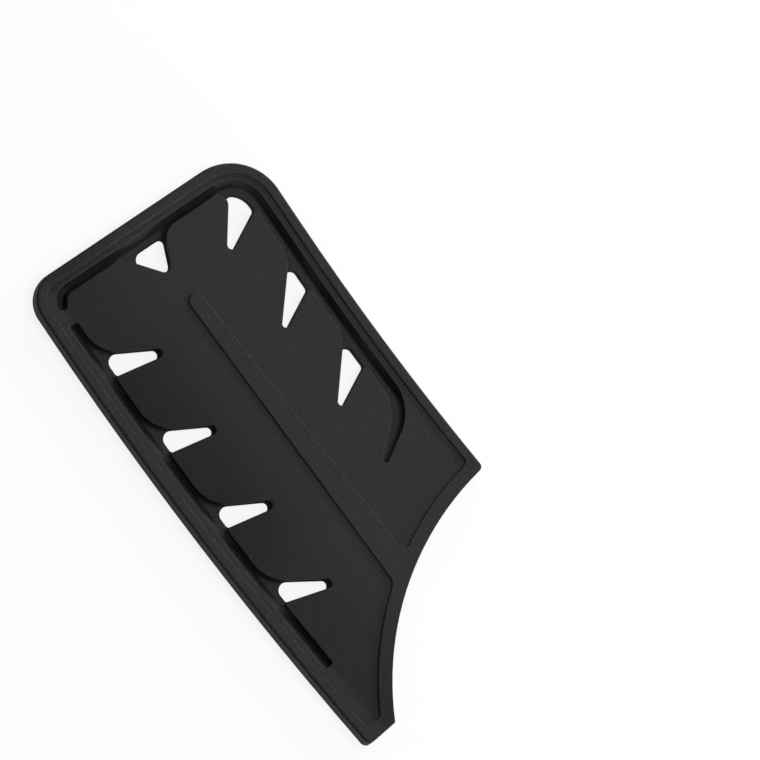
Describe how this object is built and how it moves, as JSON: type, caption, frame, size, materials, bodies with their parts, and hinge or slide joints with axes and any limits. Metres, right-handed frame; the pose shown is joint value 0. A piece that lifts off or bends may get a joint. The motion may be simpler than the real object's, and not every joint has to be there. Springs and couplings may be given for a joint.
{
  "type": "knife blade guard",
  "caption": "Flat slip-on guard for a chopping knife blade: a tray and a cover joined round the rim, with a lobed spring leaf, drain windows and a curved open mouth.",
  "frame": {"origin": "middle of the guard's outline, on the plane of its back face, which it lies on", "axes": "+X from the closed end toward the mouth, +Y toward the blade's spine, +Z out of the front face"},
  "size_m": [0.17, 0.0872, 0.007],
  "materials": {
    "back_shell": "fine spark-eroded texture, matte black",
    "front_shell": "fine spark-eroded texture, matte black"
  },
  "bodies": {
    "root": {"back_shell": "back_shell", "front_shell": "front_shell"}
  },
  "joints": []
}
